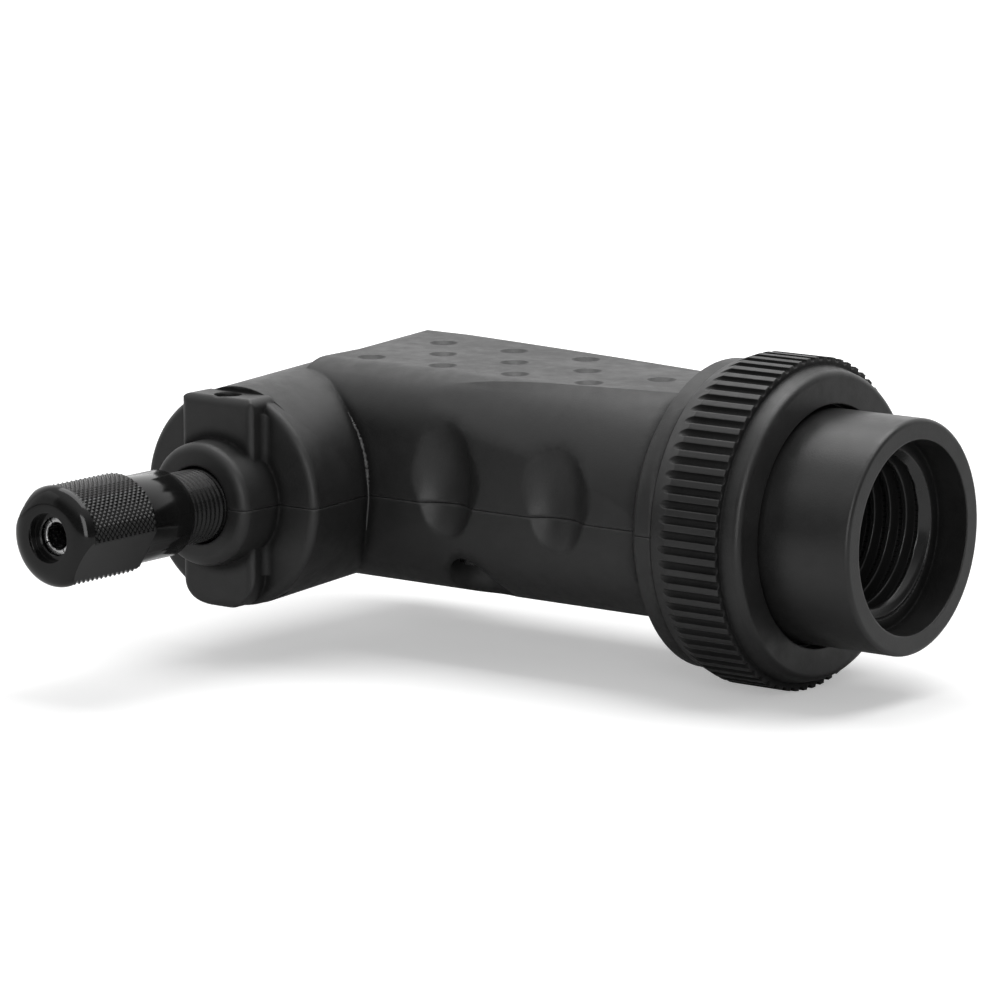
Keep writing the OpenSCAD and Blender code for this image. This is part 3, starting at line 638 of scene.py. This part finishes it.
def knurl_radius(station, angle):
    """Radius of the knurled band, which is chamfered at both ends."""
    edge = min(1.0, (station - KNURL_REAR) / KNURL_CHAMFER, (KNURL_FRONT - station) / KNURL_CHAMFER)
    return NUT_R - (1 - edge) * KNURL_CHAMFER / 2 - KNURL_DEPTH * (1 - diamond(station, angle)) * edge


def nose_radius(station):
    forward = min(1.0, (station - KNURL_FRONT) / (NUT_NOSE - KNURL_FRONT))
    return NUT_R - NOSE_FALL * (1 - math.sqrt(1 - forward ** 2))


def nut_outer(station, angle):
    if station <= KNURL_REAR:
        return skirt_radius(station)
    if station > KNURL_FRONT:
        radius = nose_radius(station)
    else:
        radius = knurl_radius(station, angle)
    for turn in (FLAT_TURN, FLAT_TURN + math.pi):
        facing = math.cos(angle - turn)
        if facing > 0:
            radius = min(radius, FLAT_DISTANCE / facing)
    return radius


def nut_inner(station, angle):
    if station < NUT_SEAT:
        return NUT_THREAD_R
    if station < LIP_REAR:
        return SEAT_R
    if station < LIP_FRONT:
        return LIP_R
    return RECESS_R


def knurled_nut():
    nose = NUT_NOSE - KNURL_FRONT
    stations = [NUT_REAR, NUT_REAR + KNURL_CHAMFER / 2, NUT_REAR + KNURL_CHAMFER, KNURL_REAR]
    stations += span(KNURL_REAR + STEP, KNURL_FRONT, KNURL_ALONG * KNURL_STEPS)
    stations += [KNURL_FRONT + nose * math.sin(angle) for angle in span(0, math.pi / 2, NOSE_STEPS)[1:]]
    edges = [edge + side * STEP for edge in (NUT_SEAT, LIP_REAR, LIP_FRONT) for side in (-1, 1)]
    inner_stations = [NUT_REAR, *edges, NUT_NOSE]
    mesh = turned(OUTPUT_WAY, nut_outer, stations, nut_inner, inner_stations, KNURL_ROUND * KNURL_STEPS)
    nut = finished(mesh, "knurled_nut", "nut_black", "nut", METAL_SHARP)
    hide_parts("collet_nut")


# Collet with thin slots. Its profile holds stations and radii round the section of one petal.

COLLET_PROFILE = (
    (39.0, 1.5),
    (39.0, 2.4),
    (51.2, 2.4),
    (51.9, 3.1),
    (55.7, 2.35),
    (55.95, 2.2),
    (56.0, 2.05),
    (56.0, 1.6),
    (55.85, 1.5),
)
COLLET_REAR = 35.0
COLLET_SLOT = 0.2
COLLET_SLOTS = 4
COLLET_TURN = math.radians(29)
COLLET_AROUND = 64
PETAL_STEPS = 16


def collet_sleeve():
    """Uncut tube at the rear of the collet, which joins the petals."""
    (front, inner_r), (_, outer_r) = COLLET_PROFILE[:2]
    ends = (COLLET_REAR, front)

    def outer(station, angle):
        return outer_r

    def inner(station, angle):
        return inner_r

    return turned(OUTPUT_WAY, outer, ends, inner, ends, COLLET_AROUND)


def slotted_collet():
    mesh = collet_sleeve()
    gap = COLLET_SLOT / COLLET_PROFILE[1][1]
    petal = math.tau / COLLET_SLOTS
    for number in range(COLLET_SLOTS):
        start = COLLET_TURN + number * petal + gap / 2
        loops = []
        for angle in span(start, start + petal - gap, PETAL_STEPS):
            arm = spoke(OUTPUT_WAY, angle)
            loops.append([
                mesh.verts.new(on_shaft(OUTPUT_WAY, station, arm, radius))
                for station, radius in COLLET_PROFILE
            ])
        capped(mesh, loops)
    collet = finished(mesh, "slotted_collet", "collet_steel", "collet", METAL_SHARP)
    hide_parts("collet")


# Rough line of moulding flash in the corner between the head and the arm

ARM_SIDE = 15.6
SIDE_REACH = 0.8
CREASE_FOLD = math.radians(-50)
CREASE_FAR = 13
CREASE_LOW = -4.6
CREASE_TOP = 9.6
SAME_POINT = 1e-6
FLASH_SEED = 7
FLASH_ROUGH = 0.5
FLASH_FADE = 2
FLASH_R = 0.17
FLASH_THIN = 0.45
FLASH_SPREAD = (0.1, 1.0)
FLASH_LEAST = 0.02
FLASH_OUT = 0.12
FLASH_PARTS = 6
FLASH_SIDES = 8


def crease_points():
    """Points of the fold between the head and the side of the arm, from the bottom up."""
    points = []
    for node in ("housing_upper", "housing_lower"):
        mesh = bmesh.new()
        mesh.from_mesh(frame["nodes"][node].data)
        bmesh.ops.remove_doubles(mesh, verts=mesh.verts, dist=SAME_POINT)
        for edge in mesh.edges:
            if len(edge.link_faces) != 2 or edge.calc_face_angle_signed(0) > CREASE_FOLD:
                continue
            middle = ((edge.verts[0].co + edge.verts[1].co) / 2 - CROSSING) / MM
            near_side = abs(middle.y + ARM_SIDE) < SIDE_REACH and 0 < middle.x < CREASE_FAR
            if near_side and CREASE_LOW < middle.z < CREASE_TOP:
                points.append(middle)
        mesh.free()
    return sorted(points, key=lambda point: point.z)


def flash_loop(mesh, point):
    """Small uneven ring of points round one point of the crease."""
    rough = blend((point.z - FLASH_ROUGH) / FLASH_FADE)
    ends = blend(min(point.z - CREASE_LOW, CREASE_TOP - point.z) / FLASH_FADE)
    thick = FLASH_R * (FLASH_THIN + rough * random.uniform(*FLASH_SPREAD)) * ends + FLASH_LEAST
    shift = Vector((random.uniform(-1, 1), random.uniform(-1, 1), 0)) * rough * FLASH_R / 3
    middle = point + shift + Vector((1, -1, 0)) * FLASH_OUT / 2
    loop = []
    for side in range(FLASH_SIDES):
        angle = side * math.tau / FLASH_SIDES
        rim = middle + Vector((math.cos(angle), math.sin(angle), 0)) * thick
        loop.append(mesh.verts.new(CROSSING + rim * MM))
    return loop


def flash_line():
    random.seed(FLASH_SEED)
    points = crease_points()
    mesh = bmesh.new()
    loops = []
    for here, there in zip(points, points[1:]):
        for part in range(FLASH_PARTS):
            loops.append(flash_loop(mesh, here.lerp(there, part / FLASH_PARTS)))
    capped(mesh, loops)
    # The flash's paler tone is partly a painted highlight along the crease.
    finished(mesh, "flash_line", "housing", "housing", FLASH_SHARP, flash_painted_highlight())


# White floor: its colour and glow as the camera sees it, and its colour as the object sees it

FLOOR_SIZE = 4
FLOOR_ROUGH = 0.9
FLOOR_SEEN = 0.9
FLOOR_BOUNCE = 0.68
FLOOR_LIFT = 0.35
FADE_FROM = 0.1
FADE_FULL = 0.5
WHITE = (1, 1, 1, 1)


def make_stage():
    bpy.ops.mesh.primitive_plane_add(size=FLOOR_SIZE, location=(0, 0, cad_low.z))
    floor = bpy.context.object
    floor.name = "floor"
    material, tree, shader = new_material("floor_white")
    shader.inputs["Roughness"].default_value = FLOOR_ROUGH
    seen = tree.nodes.new("ShaderNodeLightPath").outputs["Is Camera Ray"]
    tree.links.new(ramp(tree, seen, grey(FLOOR_BOUNCE), grey(FLOOR_SEEN)), shader.inputs["Base Color"])
    place = tree.nodes.new("ShaderNodeTexCoord")
    away = tree.nodes.new("ShaderNodeVectorMath")
    away.operation = "LENGTH"
    tree.links.new(place.outputs["Object"], away.inputs[0])
    lift = mapped(tree, away.outputs["Value"], FADE_FROM, FADE_FULL, FLOOR_LIFT, 1.0)
    shader.inputs["Emission Color"].default_value = WHITE
    tree.links.new(calculated(tree, "MULTIPLY", seen, lift), shader.inputs["Emission Strength"])
    floor.data.materials.append(material)


# Studio: a white backdrop, a soft ceiling and a darker room, with three soft lamps

STUDIO_DARK = 0.09
STUDIO_DIFFUSE = 0.4
STUDIO_MIRRORED = 1.15
BACKDROP_FROM = -0.1
BACKDROP_FULL = 0.7
BACKDROP_LEVEL = 1.0
CEILING_FROM = 0.25
CEILING_FULL = 0.9
CEILING_LEVEL = 0.8


def make_world():
    """Background that is white to the camera and a studio to all that it lights."""
    world = bpy.data.worlds.new("studio")
    bpy.context.scene.world = world
    world.use_nodes = True
    tree = world.node_tree
    place = tree.nodes.new("ShaderNodeTexCoord")
    away = tree.nodes.new("ShaderNodeVectorMath")
    away.operation = "DOT_PRODUCT"
    away.inputs[1].default_value = (-math.sin(VIEW_TURN), math.cos(VIEW_TURN), 0)
    tree.links.new(place.outputs["Generated"], away.inputs[0])
    parts = tree.nodes.new("ShaderNodeSeparateXYZ")
    tree.links.new(place.outputs["Generated"], parts.inputs[0])
    behind = away.outputs["Value"]
    backdrop = mapped(tree, behind, BACKDROP_FROM, BACKDROP_FULL, STUDIO_DARK, BACKDROP_LEVEL)
    ceiling = mapped(tree, parts.outputs["Z"], CEILING_FROM, CEILING_FULL, STUDIO_DARK, CEILING_LEVEL)
    room = calculated(tree, "MAXIMUM", backdrop, ceiling)
    path = tree.nodes.new("ShaderNodeLightPath").outputs
    mirrored = calculated(tree, "MAXIMUM", path["Is Glossy Ray"], path["Is Transmission Ray"])
    level = mapped(tree, mirrored, 0.0, 1.0, STUDIO_DIFFUSE, STUDIO_MIRRORED)
    lit = calculated(tree, "MULTIPLY", room, level)
    strength = calculated(tree, "MAXIMUM", lit, path["Is Camera Ray"])
    background = tree.nodes["Background"]
    background.inputs["Color"].default_value = WHITE
    tree.links.new(strength, background.inputs["Strength"])


def area_light(name, location, size, energy):
    """Rectangular lamp that faces the middle of the part."""
    data = bpy.data.lights.new(name, "AREA")
    data.shape = "RECTANGLE"
    data.size, data.size_y = size
    data.energy = energy
    lamp = bpy.data.objects.new(name, data)
    bpy.context.scene.collection.objects.link(lamp)
    lamp.location = location
    lamp.rotation_mode = "QUATERNION"
    middle = (cad_low + cad_high) / 2
    lamp.rotation_quaternion = (middle - Vector(location)).to_track_quat("-Z", "Y")


def make_lights():
    area_light("overhead", location=(-0.05, 0.15, 0.75), size=(0.9, 0.6), energy=5.2)
    area_light("front_left", location=(-0.7, -0.55, 0.35), size=(0.5, 0.7), energy=0.5)
    area_light("front_right", location=(0.5, -0.75, 0.28), size=(0.35, 0.6), energy=2.7)


dress_parts()
coupling_thread()
spindle_thread()
knurled_nut()
slotted_collet()
flash_line()
make_camera()
make_stage()
make_world()
make_lights()
bpy.context.scene.view_settings.view_transform = "Standard"
